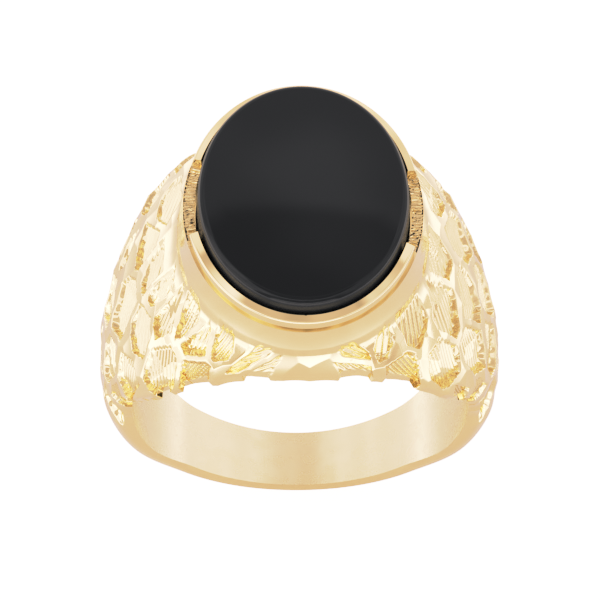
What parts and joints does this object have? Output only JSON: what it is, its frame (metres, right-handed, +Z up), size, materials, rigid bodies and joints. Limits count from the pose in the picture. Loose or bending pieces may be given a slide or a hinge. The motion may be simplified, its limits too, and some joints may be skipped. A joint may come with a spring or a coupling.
{
  "type": "signet ring",
  "caption": "Gold signet ring with a flat oval black onyx tablet held by two bezel crescents on broad carved shoulders that narrow to a plain polished shank.",
  "frame": {"origin": "lowest point of the ring standing on its shank, under the centre of the finger bore", "axes": "+X across the finger to the right, +Y along the finger towards the wearer's wrist, +Z up through the stone's flat top"},
  "size_m": [0.0228, 0.0186, 0.0256],
  "materials": {
    "gold": "mirror-polished yellow gold, with cast and carved texture on the shoulders",
    "onyx": "black onyx with a polished flat top",
    "cement": "hardened bedding cement"
  },
  "bodies": {
    "root": {"shank": "gold", "shoulder_left": "gold", "shoulder_right": "gold", "head": "gold", "bezel_front": "gold", "bezel_rear": "gold", "onyx_tablet": "onyx", "cement_bed": "cement"}
  },
  "joints": []
}
